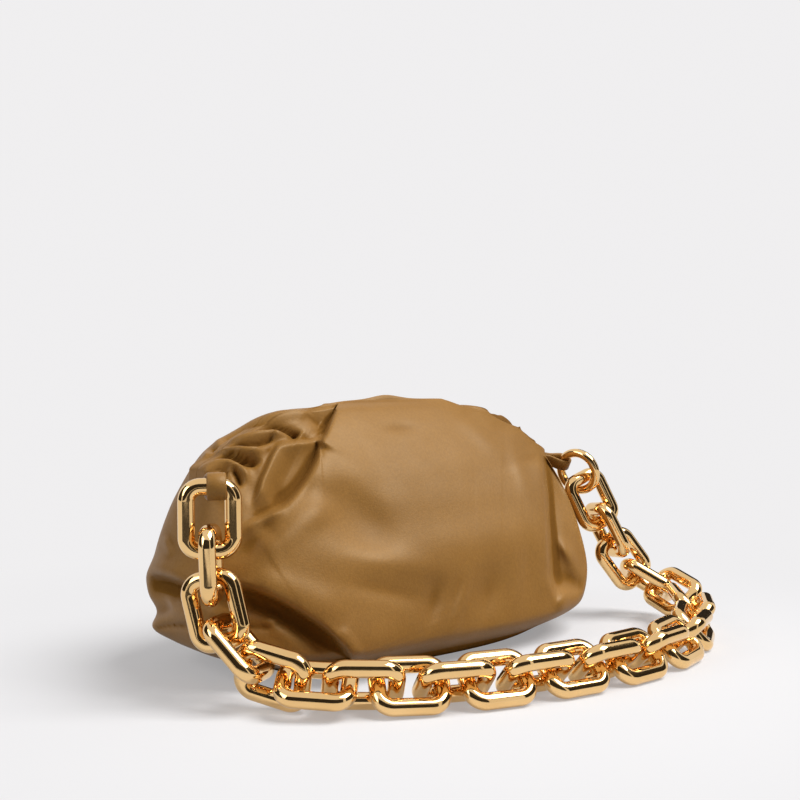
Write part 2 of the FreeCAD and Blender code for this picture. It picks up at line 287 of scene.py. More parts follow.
CREASES = (
    # beside the right edge of the main panel
    {"depth": 4.5, "width": 6, "fade": (0.2, 0.3),
     "line": ((546, 464), (550, 490), (551, 520), (553, 550), (555, 578), (559, 602))},
    # beside its left edge: under the pleat, then three short ones at the mouth
    {"depth": 6, "width": 8, "fade": (0.05, 0.2),
     "line": ((321, 441), (311, 462), (297, 482), (282, 496), (267, 503))},
    {"depth": 7, "width": 2.6, "fade": (0.0, 0.2), "line": ((330, 414), (326, 425), (321, 438))},
    {"depth": 4, "width": 3.0, "fade": (0.2, 0.1), "line": ((306, 412), (315, 420), (322, 431))},
    {"depth": 5, "width": 3.0, "fade": (0.3, 0.3), "line": ((288, 437), (294, 436), (299, 439))},
    # base seam
    {"depth": 2.2, "width": 3.0, "fade": (0.0, 0.05),
     "line": ((152, 630), (168, 626), (187, 626), (220, 627), (249, 627), (274, 627))},
    # along the deep fold, and up from the main panel's lower left
    {"depth": 9, "width": 8, "fade": (0.2, 0.2),
     "line": ((238, 592), (262, 602), (288, 615), (312, 631), (334, 651))},
    {"depth": 3, "width": 11, "fade": (0.2, 0.3), "line": ((252, 534), (285, 512), (305, 492), (321, 472))},
)
RIDGES = (
    # left end, then the base seam's right end, then the main panel's lower left
    {"height": 2, "width": 4.0, "fade": (0.3, 0.3), "line": ((162, 534), (167, 546), (172, 557))},
    {"height": 2.4, "width": 5.0, "fade": (0.4, 0.4), "line": ((262, 624), (271, 620), (280, 618))},
    {"height": 3.5, "width": 13, "fade": (0.3, 0.3),
     "line": ((246, 556), (275, 538), (303, 519), (340, 499))},
    {"height": 4, "width": 13, "fade": (0.3, 0.3),
     "line": ((250, 577), (290, 590), (322, 604), (346, 618))},
    {"height": 3, "width": 5, "fade": (0.3, 0.2), "line": ((340, 626), (351, 643), (361, 659))},
)
# Folds that stand straight out of the surface
PLEATS = (
    # left gather: rolls, and the creases between them
    {"height": 3.0, "width": 4.5, "fade": (0.2, 0.15),
     "line": ((203, 450), (222, 435), (245, 424), (270, 418), (296, 415), (318, 419))},
    {"depth": 5.2, "width": 2.6, "fade": (0.15, 0.05),
     "line": ((216, 446), (228, 437), (240, 431), (252, 427.5), (266, 425), (283, 427), (293, 432),
              (298, 438))},
    {"height": 2.6, "width": 3.6, "fade": (0.2, 0.15),
     "line": ((212, 450), (226, 441), (244, 436), (262, 433), (276, 433), (287, 438))},
    {"depth": 5.0, "width": 2.6, "fade": (0.15, 0.05),
     "line": ((206, 455), (216, 448), (228, 444.5), (241, 443), (257, 441.5), (268, 438.5),
              (274, 433))},
    {"height": 4.0, "width": 4.0, "fade": (0.15, 0.2),
     "line": ((201, 466), (209, 455), (221, 449), (235, 449), (250, 451), (267, 450))},
    {"depth": 7.5, "width": 3.0, "fade": (0.1, 0.15),
     "line": ((200, 476), (204, 465), (212, 457), (221, 454), (231, 454.5), (240, 458.5), (250, 461),
              (264, 461))},
    {"height": 3.0, "width": 3.6, "fade": (0.2, 0.25),
     "line": ((205, 479), (209, 468), (217, 462), (227, 461), (237, 465), (245, 473), (250, 486))},
    {"depth": 4.2, "width": 2.4, "fade": (0.2, 0.4), "line": ((222, 466), (223, 474), (219, 484))},
    # overhang at the left end: its round edge and the crease under it
    {"height": 2.0, "width": 8, "fade": (0.5, 0.3), "line": ((143, 564), (157, 566), (172, 571), (187, 578))},
    {"depth": 4.5, "width": 5, "fade": (0.45, 0.3),
     "line": ((141, 580), (156, 583), (170, 587), (186, 594), (200, 602))},
    # left gather, beside the chain's first link
    {"depth": 5.0, "width": 2.6, "fade": (0.2, 0.4), "line": ((232, 467), (238, 476), (241, 489))},
)
# Soft swellings, and hollows with a height below zero: pixel column and row, half length and half width
# in pixels, turn of the length below the image's right in degrees, height in millimetres
SWELLS = (
    (356, 518, 46, 25, 40, -7.0),
    (268, 535, 42, 13, -32, -5.0),
    (288, 472, 30, 10, -62, -4.0),
    (425, 468, 70, 40, 20, 2.0),
    (392, 562, 50, 12, 8, 2.2),
    (380, 590, 40, 10, 12, -1.5),
    (432, 604, 26, 9, 100, -2.0),
    (462, 600, 26, 6, 106, 1.5),
    (486, 596, 28, 10, 96, -1.6),
    (515, 585, 30, 10, 92, 1.0),
    (530, 560, 30, 9, 90, -1.2),
    (470, 548, 90, 28, -8, 4.5),
    (566, 552, 16, 7, 60, 3.0),
    (566, 580, 16, 8, 30, -5.0),
    (563, 601, 12, 6, 100, 2.5),
    (400, 428, 16, 6, 0, -1.2),
    (485, 440, 30, 8, 40, 1.2),
    (520, 470, 26, 7, 70, 1.2),
    (165, 560, 20, 10, 20, 2.0),
    (172, 592, 26, 9, 10, -4.0),
    (215, 600, 22, 9, 20, -3.0),
    (282, 630, 26, 9, 36, 3.0),
)

# Small moves of the outline: pixel column and row, size in pixels, millimetres to the right and up
NUDGES = (
    (146, 574, 13, -2.2, 0.0),
    (157, 608, 12, 5.5, 0.0),
    (156, 629, 12, -4.0, 0.0),
    (316, 403, 22, 0.0, -2.4),
    (468, 402, 18, 0.0, -2.4),
    (502, 418, 16, -0.8, -2.0),
    (530, 440, 14, -1.2, -1.2),
)

# Lumps of the rear gather that show over the front's mouth edge: pixel column, half width in pixels, height
# in millimetres. They start at these shares of the grid's rows and columns, and lean outward and rearward.
PUCKERS = (
    (386, 18, 3.0),
    (499, 11, 5.0),
    (522, 10, 6.0),
    (538, 8, 4.5),
)
PUCKER_TOP_SHARE = 0.86
PUCKER_END_SHARE = 0.91
PUCKER_OUTWARD = 0.5
PUCKER_HALF_WIDTH = 140
PUCKER_REARWARD = 0.25


def curve_through(points):
    """Smooth line through given points."""
    points = np.array(points, float)
    padded = np.vstack([2 * points[0] - points[1], points, 2 * points[-1] - points[-2]])
    steps = np.linspace(0, 1, LINE_STEPS, endpoint=False)[:, None]
    runs = []
    for i in range(1, len(padded) - 2):
        p0, p1, p2, p3 = padded[i - 1:i + 3]
        runs.append(0.5 * (2 * p1 + (p2 - p0) * steps + (2 * p0 - 5 * p1 + 4 * p2 - p3) * steps ** 2
                           + (3 * p1 - p0 - 3 * p2 + p3) * steps ** 3))
    return np.vstack(runs + [points[-1:]])


def line_field(u, v, line):
    """Distance to a line, which side of it each place is on, and how far along it the nearest place is."""
    nearest = np.full(u.shape, np.inf)
    side = np.zeros(u.shape)
    along = np.zeros(u.shape)
    run = running(np.hypot(*np.diff(line, axis=0).T))
    for i in range(len(line) - 1):
        way = line[i + 1] - line[i]
        square = way @ way
        t = np.clip(((u - line[i, 0]) * way[0] + (v - line[i, 1]) * way[1]) / square, 0, 1)
        du = u - line[i, 0] - t * way[0]
        dv = v - line[i, 1] - t * way[1]
        distance = np.hypot(du, dv)
        closer = distance < nearest
        nearest = np.where(closer, distance, nearest)
        side = np.where(closer, np.sign(way[0] * dv - way[1] * du), side)
        along = np.where(closer, (run[i] + t * (run[i + 1] - run[i])) / run[-1], along)
    return nearest, side, along


def end_fade(along, fade):
    """Share of a fold's height at each place along it."""
    first, last = fade
    start = ease(0, first, along) if first else 1.0
    end = ease(0, last, 1 - along) if last else 1.0
    return start * end


def relief(u, v, folds, swells=()):
    """Height of the folds at each pixel, in millimetres."""
    total = np.zeros(u.shape)
    for column, row, length, width, turn, height in swells:
        c = math.cos(math.radians(turn))
        s = math.sin(math.radians(turn))
        along = (u - column) * c + (v - row) * s
        across = (v - row) * c - (u - column) * s
        total += height * np.exp(-(along / length) ** 2 - (across / width) ** 2)
    for fold in folds:
        line = curve_through(fold["line"])
        span = FOLD_SPAN * fold.get("reach", fold.get("width"))
        low = line.min(axis=0) - span
        high = line.max(axis=0) + span
        near = (u > low[0]) & (u < high[0]) & (v > low[1]) & (v < high[1])
        distance, side, along = line_field(u[near], v[near], line)
        part = end_fade(along, fold["fade"])
        if "high" in fold:
            high_u, high_v = np.array(fold["high"])[:, None]
            high_side = line_field(high_u, high_v, line)[1][0]
            signed = distance * side * high_side
            step = np.tanh(signed / fold["edge"])
            fall = np.where(signed > 0, fold["reach"], fold["under"])
            rise = np.where(signed > 0, fold["rise"], 1 - fold["rise"])
            total[near] += rise * fold["height"] * part * step * np.exp(-distance / fall)
        elif "depth" in fold:
            blunt = CREASE_ROUND * fold["width"]
            soft = np.sqrt(distance ** 2 + blunt ** 2) - blunt
            total[near] -= fold["depth"] * part * np.exp(-soft / fold["width"])
        else:
            total[near] += fold["height"] * part * np.exp(-(distance / fold["width"]) ** 2)
    return total


def seen_from(grid, turn):
    """Pixel of each point and its way to the camera, with turn -1 as if the bag were turned half round."""
    flip = np.array([turn, turn, 1.0])
    u, v = photo_place(grid * flip)
    way = np.array(CAMERA_PLACE) / MM - grid * flip
    way /= np.linalg.norm(way, axis=2, keepdims=True)
    return u, v, way * flip


def joined(halves_values):
    """Values of the two halves made to agree where their ends meet."""
    ring = np.concatenate([halves_values[-1], halves_values[1][:, ::-1]], axis=1)
    half = ring.shape[1] // 2
    shifts = range(-SEAM_COLUMNS, SEAM_COLUMNS + 1)
    wide = np.mean([np.roll(ring, shift, axis=1) for shift in shifts], axis=0)
    column = np.arange(ring.shape[1])
    from_ends = np.minimum(column, ring.shape[1] - 1 - column)
    away = np.minimum(from_ends, np.abs(column - half + 0.5) - 0.5)
    share = (1 - ease(0, SEAM_COLUMNS + 1, away))[None, :]
    ring = ring + (wide - ring) * share
    for a, b in ((0, -1), (half - 1, half)):
        ring[:, a] = ring[:, b] = (ring[:, a] + ring[:, b]) / 2
    return {-1: ring[:, :half], 1: ring[:, half:][:, ::-1]}


def fold_lifts(grids):
    """How far each point moves and which way: on the photograph's side and, turned half round, the other."""
    moves = []
    for turn in (1, -1):
        lifts, pleats, ways, outs = {}, {}, {}, {}
        for side, grid in grids.items():
            u, v, way = seen_from(grid, turn)
            normal = grid_normals(grid, side)
            slant = np.sum(normal * way, axis=2)
            calm = 1 - ease(TOP_CALM_SHARE, 1.0, np.linspace(0, 1, len(grid)))[:, None]
            lift = relief(u, v, LIPS + CREASES + RIDGES, SWELLS)
            lift = lift * ease(*LIFT_SLANTS, slant) * calm * FOLD_SHARE[turn]
            foot = FOOT_SHARE + (1 - FOOT_SHARE) * ease(*FOOT_HEIGHTS, grid[:, :, 2])
            lift = lift * foot / np.maximum(slant, LEAST_SLANT)
            most = np.where(lift > 0, MOST_OUT, MOST_IN)
            lifts[side] = most * np.tanh(lift / most)
            pleats[side] = relief(u, v, PLEATS) * ease(*PLEAT_SLANTS, slant) * calm
            ways[side] = way
            outs[side] = normal
        lifts = joined(lifts)
        pleats = joined(pleats)
        for side, grid in grids.items():
            # near the mouth the steel frame is just behind the leather, so folds there go in only a little
            room = FRAME_ROOM + np.maximum(np.abs(grid[:, :, 1]) - FRAME_DEPTH, 0)
            room = room + FREE_ROOM * (1 - ease(*FREE_HEIGHTS, grid[:, :, 2]))
            lifts[side] = np.maximum(lifts[side], -room)
            pleats[side] = np.maximum(pleats[side], -room - FRAME_ROOM)
        moves.append((lifts, ways))
        moves.append((pleats, outs))
    return moves


def nudged(grids):
    """Both halves with the outline moved a little where the photograph's outline is uneven."""
    moved = {}
    for side, grid in grids.items():
        u, v, way = seen_from(grid, 1)
        slant = np.abs(np.sum(grid_normals(grid, side) * way, axis=2))
        rim = 1 - ease(*RIM_SLANTS, slant)
        new = grid.copy()
        for column, row, size, right, up in NUDGES:
            near = np.exp(-((u - column) ** 2 + (v - row) ** 2) / size ** 2) * rim
            new += near[:, :, None] * (RIGHT * right + np.array([0, 0, up]))
        moved[side] = new
    return moved


def folded(grids):
    """Both halves with their folds, kept off the hinge brackets and above the floor."""
    moved = {side: grid.copy() for side, grid in grids.items()}
    for lifts, ways in fold_lifts(grids):
        for side in grids:
            moved[side] += lifts[side][:, :, None] * ways[side]
    for side in grids:
        x, y, z = (moved[side][:, :, k] for k in range(3))
        near = ease(*BRACKET_DEPTHS, -np.abs(y)) * ease(*BRACKET_FOOT, z) * (1 - ease(*BRACKET_HEAD, z))
        moved[side][:, :, 0] = x + np.sign(x) * np.maximum(BRACKET_REACH - np.abs(x), 0) * near
        moved[side][:, :, 2] = np.maximum(z, 0)
    return moved


def deepest_near(values, reach):
    """Least value within a few cells of each cell, then evened out."""
    for pick in (np.min, np.mean):
        for axis in (0, 1):
            pad = [(reach, reach) if k == axis else (0, 0) for k in (0, 1)]
            wide = np.pad(values, pad, mode="edge")
            size = values.shape[axis]
            shifted = [np.take(wide, range(k, k + size), axis=axis) for k in range(2 * reach + 1)]
            values = pick(shifted, axis=0)
    return values


def drawn_in(grids):
    """Lining grids that stay behind the leather's folds."""
    moved = {side: grid.copy() for side, grid in grids.items()}
    for lifts, ways in fold_lifts(grids):
        for side in grids:
            inward = np.minimum(deepest_near(lifts[side], LINING_NEAR_CELLS), 0)
            moved[side] += inward[:, :, None] * ways[side]
    return moved


def puckered(grid):
    """Rear grid with small lumps at its mouth edge."""
    u, _ = photo_place(grid)
    rows, columns = grid.shape[:2]
    top = ease(PUCKER_TOP_SHARE, 1.0, np.linspace(0, 1, rows))[:, None]
    end = ease(PUCKER_END_SHARE, 1.0, np.linspace(0, 1, columns))[None, :]
    near = np.maximum(top, end * ease(MOUTH_LOW, MOUTH_FULL, grid[:, :, 2]))
    lift = np.zeros(u.shape)
    for column, half, height in PUCKERS:
        lift += height * np.exp(-((u - column) / half) ** 2)
    way = np.ones(grid.shape)
    way[:, :, 0] = PUCKER_OUTWARD * grid[:, :, 0] / PUCKER_HALF_WIDTH
    way[:, :, 1] = PUCKER_REARWARD
    way /= np.linalg.norm(way, axis=2, keepdims=True)
    return grid + (lift * near)[:, :, None] * way


def hollows(grid, normal):
    """Share of painted shade at each point, 0 to 1: the most of its bend's, its broad dip's and the base's.
    """
    below, above, left, right = grid[:-2, 1:-1], grid[2:, 1:-1], grid[1:-1, :-2], grid[1:-1, 2:]
    mean = np.zeros(grid.shape)
    mean[1:-1, 1:-1] = (below + above + left + right) / 4 - grid[1:-1, 1:-1]
    cell = np.ones(grid.shape[:2])
    cell[1:-1, 1:-1] = (np.linalg.norm(above - below, axis=2) * np.linalg.norm(right - left, axis=2)) / 4
    bend = np.sum(mean * normal, axis=2) / np.maximum(cell, LEAST_CELL)
    bend[:, 0] = bend[:, 1]
    bend[:, -1] = bend[:, -2]
    for _ in range(BEND_ROUNDS):
        bend[1:-1, 1:-1] = (bend[1:-1, 1:-1] * 2 + bend[:-2, 1:-1] + bend[2:, 1:-1] + bend[1:-1, :-2]
                            + bend[1:-1, 2:]) / 6
    r, c = BROAD_ROWS, BROAD_COLUMNS
    wide = np.pad(grid, ((r, r), (c, c), (0, 0)), mode="edge")
    around = (wide[:-2 * r, c:-c] + wide[2 * r:, c:-c] + wide[r:-r, :-2 * c] + wide[r:-r, 2 * c:]) / 4
    broad = BROAD_SHARE * ease(0, BROAD_DEPTH, np.sum((around - grid) * normal, axis=2))
    # painted shade low down at the base, less with the height
    under = PAINTED_BASE_SHADE * (1 - ease(*UNDER_HEIGHTS, grid[:, :, 2]))
    return np.clip(np.maximum(np.maximum(bend * HOLLOW_REACH, broad), under), 0, 1)


# Materials. A ramp has two stops, each a place from 0 to 1 and its colour.
MIX_FACTOR, MIX_FIRST, MIX_SECOND, MIX_RESULT = 0, 6, 7, 2  # the mix node's colour sockets


def grey(level):
    return (level, level, level)


LEATHER_TONES = ((0.30, (0.243, 0.114, 0.023)), (0.70, (0.302, 0.146, 0.031)))
LEATHER_FLECKS = ((0.35, grey(0.86)), (0.65, grey(1.06)))
FLECK_SHARE = 0.6
LEATHER_ROUGHNESS = ((0.25, grey(0.45)), (0.75, grey(0.55)))
LEATHER_SPECULAR = 0.42
LEATHER_TINT = (1.0, 0.84, 0.58)
LEATHER_GRAIN_SCALE = 1050.0
# Painted shade: the dark colour that the leather takes in its creases, broad dips and low at the base
PAINTED_SHADE_TONE = (0.070, 0.024, 0.004)
PAINTED_SHADE_SHARE = 0.8
HOLLOW_DULL_FROM = 0.35
SUEDE_TONES = ((0.3, (0.135, 0.070, 0.028)), (0.7, (0.200, 0.108, 0.046)))
SUEDE_ROUGHNESS = 0.95
SUEDE_SHEEN = 0.4
GOLD_TONES = ((0.3, (0.81, 0.520, 0.220)), (0.7, (0.88, 0.595, 0.275)))
GOLD_ROUGHNESS = ((0.3, grey(0.055)), (0.75, grey(0.10)))
STEEL_TONES = ((0.3, (0.26, 0.26, 0.27)), (0.7, (0.38, 0.38, 0.39)))
NICKEL_TONES = ((0.3, (0.36, 0.35, 0.33)), (0.7, (0.48, 0.47, 0.45)))
STEEL_BRUSHING = (60.0, 900.0, 900.0)
STEEL_ROUGHNESS = 0.32
THREAD_TONES = ((0.2, (0.30, 0.155, 0.055)), (0.8, (0.45, 0.255, 0.105)))
THREAD_TWIST_SCALE = 900.0
THREAD_ROUGHNESS = 0.6


def material_tree(name):
    material = bpy.data.materials.new(name)
    material.use_nodes = True
    tree = material.node_tree
    return material, tree, tree.nodes["Principled BSDF"]


def add(tree, kind, **values):
    """New node with some of its sockets and properties set."""
    node = tree.nodes.new(kind)
    for key, value in values.items():
        if key in node.inputs:
            node.inputs[key].default_value = value
        else:
            setattr(node, key, value)
    return node


def rest_place(tree):
    return add(tree, "ShaderNodeAttribute", attribute_name="rest").outputs["Vector"]


def object_place(tree):
    return add(tree, "ShaderNodeTexCoord").outputs["Object"]


def noise(tree, place, scale, detail=2.0):
    node = add(tree, "ShaderNodeTexNoise", Scale=scale, Detail=detail)
    tree.links.new(place, node.inputs["Vector"])
    return node.outputs["Fac"]


def ramp(tree, source, stops):
    node = add(tree, "ShaderNodeValToRGB")
    tree.links.new(source, node.inputs["Fac"])
    for element, (position, colour) in zip(node.color_ramp.elements, stops):
        element.position = position
        element.color = (*colour, 1)
    return node.outputs["Color"]


def mixed(tree, factor, first, second, blend="MIX"):
    node = add(tree, "ShaderNodeMix", data_type="RGBA", blend_type=blend)
    for value, place in ((factor, MIX_FACTOR), (first, MIX_FIRST), (second, MIX_SECOND)):
        if isinstance(value, bpy.types.NodeSocket):
            tree.links.new(value, node.inputs[place])
        else:
            node.inputs[place].default_value = value
    return node.outputs[MIX_RESULT]


def reckoned(tree, operation, total, *others):
    """Socket of a math operation over a socket and, one after the other, more sockets or numbers."""
    for other in others:
        node = add(tree, "ShaderNodeMath", operation=operation)
        tree.links.new(total, node.inputs[0])
        if isinstance(other, bpy.types.NodeSocket):
            tree.links.new(other, node.inputs[1])
        else:
            node.inputs[1].default_value = other
        total = node.outputs[0]
    return total


def bumped(tree, shader, heights, distance, strength):
    """Bump from one or more height sockets with their weights."""
    scaled = [reckoned(tree, "MULTIPLY", socket, weight) for socket, weight in heights]
    bump = add(tree, "ShaderNodeBump", Strength=strength, Distance=distance)
    tree.links.new(reckoned(tree, "ADD", *scaled), bump.inputs["Height"])
    tree.links.new(bump.outputs["Normal"], shader.inputs["Normal"])


def leather_material():
    material, tree, shader = material_tree("caramel_leather")
    place = rest_place(tree)
    tone = ramp(tree, noise(tree, place, scale=13.0, detail=3.0), LEATHER_TONES)
    fleck = ramp(tree, noise(tree, place, scale=620.0), LEATHER_FLECKS)
    tone = mixed(tree, FLECK_SHARE, tone, fleck, "MULTIPLY")
    hollow = add(tree, "ShaderNodeAttribute", attribute_name="hollow").outputs["Fac"]
    # painted shade: the colour darkens by the hollow attribute in the creases, broad dips and low at the base
    tone = mixed(tree, reckoned(tree, "MULTIPLY", hollow, PAINTED_SHADE_SHARE), tone, (*PAINTED_SHADE_TONE, 1))
    tree.links.new(tone, shader.inputs["Base Color"])
    rough = ramp(tree, noise(tree, place, scale=60.0, detail=3.0), LEATHER_ROUGHNESS)
    tree.links.new(rough, shader.inputs["Roughness"])
    dull = add(tree, "ShaderNodeMapRange")
    tree.links.new(hollow, dull.inputs["Value"])
    dull.inputs["From Max"].default_value = HOLLOW_DULL_FROM
    dull.inputs["To Min"].default_value = LEATHER_SPECULAR
    dull.inputs["To Max"].default_value = 0.0
    shader.inputs["Specular IOR Level"].default_value = LEATHER_SPECULAR
    tree.links.new(dull.outputs["Result"], shader.inputs["Specular IOR Level"])
    shader.inputs["Specular Tint"].default_value = (*LEATHER_TINT, 1)
    grain = add(tree, "ShaderNodeTexVoronoi", Scale=LEATHER_GRAIN_SCALE, feature="SMOOTH_F1")
    tree.links.new(place, grain.inputs["Vector"])
    heights = ((grain.outputs["Distance"], -1.0), (noise(tree, place, scale=2300.0), 0.5),
               (noise(tree, place, scale=90.0), 1.2))
    bumped(tree, shader, heights, distance=0.0002, strength=0.35)
    return material


def suede_material():
    material, tree, shader = material_tree("brown_suede")
    place = rest_place(tree)
    tone = ramp(tree, noise(tree, place, scale=35.0, detail=4.0), SUEDE_TONES)
    tree.links.new(tone, shader.inputs["Base Color"])
    shader.inputs["Roughness"].default_value = SUEDE_ROUGHNESS
    shader.inputs["Sheen Weight"].default_value = SUEDE_SHEEN
    nap = noise(tree, place, scale=1800.0, detail=3.0)
    bumped(tree, shader, ((nap, 1.0),), distance=0.0003, strength=0.5)
    return material


def gold_material():
    material, tree, shader = material_tree("polished_gold")
    place = object_place(tree)
    tone = ramp(tree, noise(tree, place, scale=25.0), GOLD_TONES)
    tree.links.new(tone, shader.inputs["Base Color"])
    shader.inputs["Metallic"].default_value = 1.0
    haze = ramp(tree, noise(tree, place, scale=140.0, detail=4.0), GOLD_ROUGHNESS)
    tree.links.new(haze, shader.inputs["Roughness"])
    waves = noise(tree, place, scale=60.0, detail=1.0)
    bumped(tree, shader, ((waves, 1.0),), distance=0.0002, strength=0.06)
    return material


def steel_material(name, tones):
    material, tree, shader = material_tree(name)
    place = object_place(tree)
    stretch = add(tree, "ShaderNodeMapping", Scale=STEEL_BRUSHING)
    tree.links.new(place, stretch.inputs["Vector"])
    brushed = noise(tree, stretch.outputs["Vector"], scale=1.0, detail=3.0)
    tree.links.new(ramp(tree, brushed, tones), shader.inputs["Base Color"])
    shader.inputs["Metallic"].default_value = 1.0
    shader.inputs["Roughness"].default_value = STEEL_ROUGHNESS
    bumped(tree, shader, ((brushed, 1.0),), distance=0.0001, strength=0.2)
    return material


def thread_material():
    material, tree, shader = material_tree("waxed_thread")
    place = rest_place(tree)
    twist = add(tree, "ShaderNodeTexWave", Scale=THREAD_TWIST_SCALE, Distortion=1.0)
    tree.links.new(place, twist.inputs["Vector"])
    tone = ramp(tree, twist.outputs["Fac"], THREAD_TONES)
    tree.links.new(tone, shader.inputs["Base Color"])
    shader.inputs["Roughness"].default_value = THREAD_ROUGHNESS
    return material


leather = leather_material()
suede = suede_material()
gold = gold_material()
steel = steel_material("spring_steel", STEEL_TONES)
nickel = steel_material("nickel_plate", NICKEL_TONES)
thread = thread_material()

NODE_MATERIALS = (
    (("chain_link", "ring"), gold),
    (("front_frame", "rear_frame", "left_hinge", "right_hinge"), steel),
    (("front_magnets", "rear_magnets"), nickel),
)
for node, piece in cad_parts.items():
    for starts, material in NODE_MATERIALS:
        if node.startswith(starts):
            for slot in piece.material_slots:
                slot.material = material

# Leather of the two halves: the plain form with the outline's moves, then the folds, then the rear's lumps
NAMES = {-1: "front", 1: "rear"}
halves = {}
for side in NAMES:
    grid = pouch_grid(side, LEATHER_ROWS, LEATHER_COLUMNS)
    grid[:, :, 1] += side * MOUTH_HALF_GAP * ease(MOUTH_LOW, MOUTH_FULL, grid[:, :, 2])
    halves[side] = grid
plain_halves = nudged(halves)
halves = folded(plain_halves)
halves[1] = puckered(halves[1])
for side, name in NAMES.items():
    grid = halves[side]
    piece = grid_piece(name + "_leather", grid, side > 0, leather, hollows(grid, grid_normals(grid, side)))
    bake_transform(piece)
    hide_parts(name + "_panel", name + "_gather")

# Casing at the mouth: leather turned in over the frame, then down behind it.
# Each row: millimetres inward from the mouth edge, millimetres away from the mouth plane.
CASING_ROWS = ((1.4, 0.4), (2.4, 0.8), (5.0, 0.9), (11.0, 0.9), (14.0, 1.2), (15.4, 2.6), (15.4, 4.6),
               (14.0, 6.0))
CASING_FOOT = 109.0
CASING_COLUMNS = 220
STITCH_LENGTH = 3.0
STITCH_GAP = 1.4
STITCH_RADIUS = 0.32
STITCH_INWARD = 2.9
STITCH_BACK = 0.75
STITCH_END_ROOM = 6.0
STITCH_SIDES = 6
# Sections of a stitch: share of its length, and its thickness and rise in radii
STITCH_SECTIONS = ((0.0, 0.2, -0.6), (0.12, 1.0, 0.2), (0.5, 1.1, 0.45), (0.88, 1.0, 0.2), (1.0, 0.2, -0.6))


def line_run(line):
    """Length of a line up to each of its points."""
    return running(np.linalg.norm(np.diff(line, axis=0), axis=1))


def places_on(line, run, at):
    """Places on a line where its run is as given."""
    return np.stack([np.interp(at, run, line[:, k]) for k in range(3)], axis=1)


def mouth_line(grid, guide):
    """Mouth edges of a grid and its guide, left foot to right foot over the top, even along the guide."""
    rows = np.where(guide[:, 0, 2] > CASING_FOOT)[0]
    edges = [np.vstack([g[rows, 0], g[-1, 1:-1], g[rows[::-1], -1]]) for g in (grid, guide)]
    run = line_run(edges[1])
    at = np.linspace(0, run[-1], CASING_COLUMNS)
    return [places_on(edge, run, at) for edge in edges]


def inward_ways(line):
    """Unit ways from the mouth edge into the mouth, in the mouth plane."""
    way = np.gradient(line, axis=0)
    way[:, 1] = 0
    way /= np.linalg.norm(way, axis=1, keepdims=True)
    return np.stack([way[:, 2], np.zeros(len(way)), -way[:, 0]], axis=1)


def stitch_piece(name, starts, ways, outs):
    """Row of short raised threads: a start, a way along and a way out of the surface for each."""
    around = np.linspace(0, 2 * math.pi, STITCH_SIDES, endpoint=False)
    count = STITCH_SIDES
    points = []
    faces = []
    for start, way, out in zip(starts, ways, outs):
        across = np.cross(way, out)
        base = len(points)
        for along, thick, rise in STITCH_SECTIONS:
            centre = start + way * STITCH_LENGTH * along + out * STITCH_RADIUS * rise
            for angle in around:
                spoke = across * math.cos(angle) + out * math.sin(angle)
                points.append(centre + spoke * STITCH_RADIUS * thick)
        for ring in range(len(STITCH_SECTIONS) - 1):
            low = base + ring * count
            high = low + count
            for k in range(count):
                after = (k + 1) % count
                faces.append((low + k, low + after, high + after, high + k))
        faces.append(tuple(base + k for k in reversed(range(count))))
        faces.append(tuple(base + (len(STITCH_SECTIONS) - 1) * count + k for k in range(count)))
    return new_piece(name, points, faces, thread)


for side, name in NAMES.items():
    edge, line = mouth_line(halves[side], plain_halves[side])
    line[:, 1] = side * MOUTH_HALF_GAP
    inward = inward_ways(line)
    away = np.array([0.0, side, 0.0])
    rows = [edge] + [line + inward * deep + away * back for deep, back in CASING_ROWS]
    piece = grid_piece(name + "_casing", np.stack(rows), side < 0, leather)
    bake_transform(piece)
    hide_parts(name + "_facing")
    run = line_run(line)
    at = np.arange(STITCH_END_ROOM, run[-1] - STITCH_END_ROOM, STITCH_LENGTH + STITCH_GAP)
    seam = line + inward * STITCH_INWARD
    places = places_on(seam, run, at)
    ways = places_on(seam, run, at + 1) - places
    ways /= np.linalg.norm(ways, axis=1, keepdims=True)
    outs = np.tile(-away, (len(ways), 1))
    stitches = stitch_piece(name + "_casing_stitches", places + away * STITCH_BACK, ways, outs)
    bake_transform(stitches)

# Lining, and the slip pocket on its rear wall
LINING_INSET = 5.0
LINING_ROWS = 105
LINING_COLUMNS = 230
LINING_FLOOR = 1.5
LINING_NEAR_CELLS = 3
LINING_TOP_DEPTH = 7.0
LINING_LEAST_DEPTH = 6.5
POCKET_INSET = 7.5
POCKET_HALF_WIDTH = 60.0
POCKET_FOOT = 18.0
POCKET_TOP = 60.0
POCKET_HEM = 1.6
POCKET_HEM_SHARE = 1.02
POCKET_SAG = 3.0
POCKET_BULGE = 2.0
POCKET_ROWS = 21
POCKET_COLUMNS = 41

plain_linings = {side: pouch_grid(side, LINING_ROWS, LINING_COLUMNS, LINING_INSET) for side in NAMES}
linings = drawn_in(nudged(plain_linings))
for side, name in NAMES.items():
    grid = linings[side]
    grid[:, :, 2] = np.maximum(grid[:, :, 2], LINING_FLOOR)
    deep = np.abs(grid[:, :, 1]).max(axis=1)
    last = np.where((deep > LINING_TOP_DEPTH) | (grid[:, 0, 2] < MOUTH_LOW))[0][-1] + 1
    grid = grid[:last]
    cut = ((np.abs(grid[:, :, 1]) < LINING_LEAST_DEPTH) & (grid[:, :, 2] > MOUTH_LOW)).ravel()
    faces = [face for face in grid_faces(*grid.shape[:2], side < 0) if not cut[face].any()]
    piece = new_piece(name + "_lining", grid, faces, suede)
    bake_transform(piece)
    if side > 0:
        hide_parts("lining")


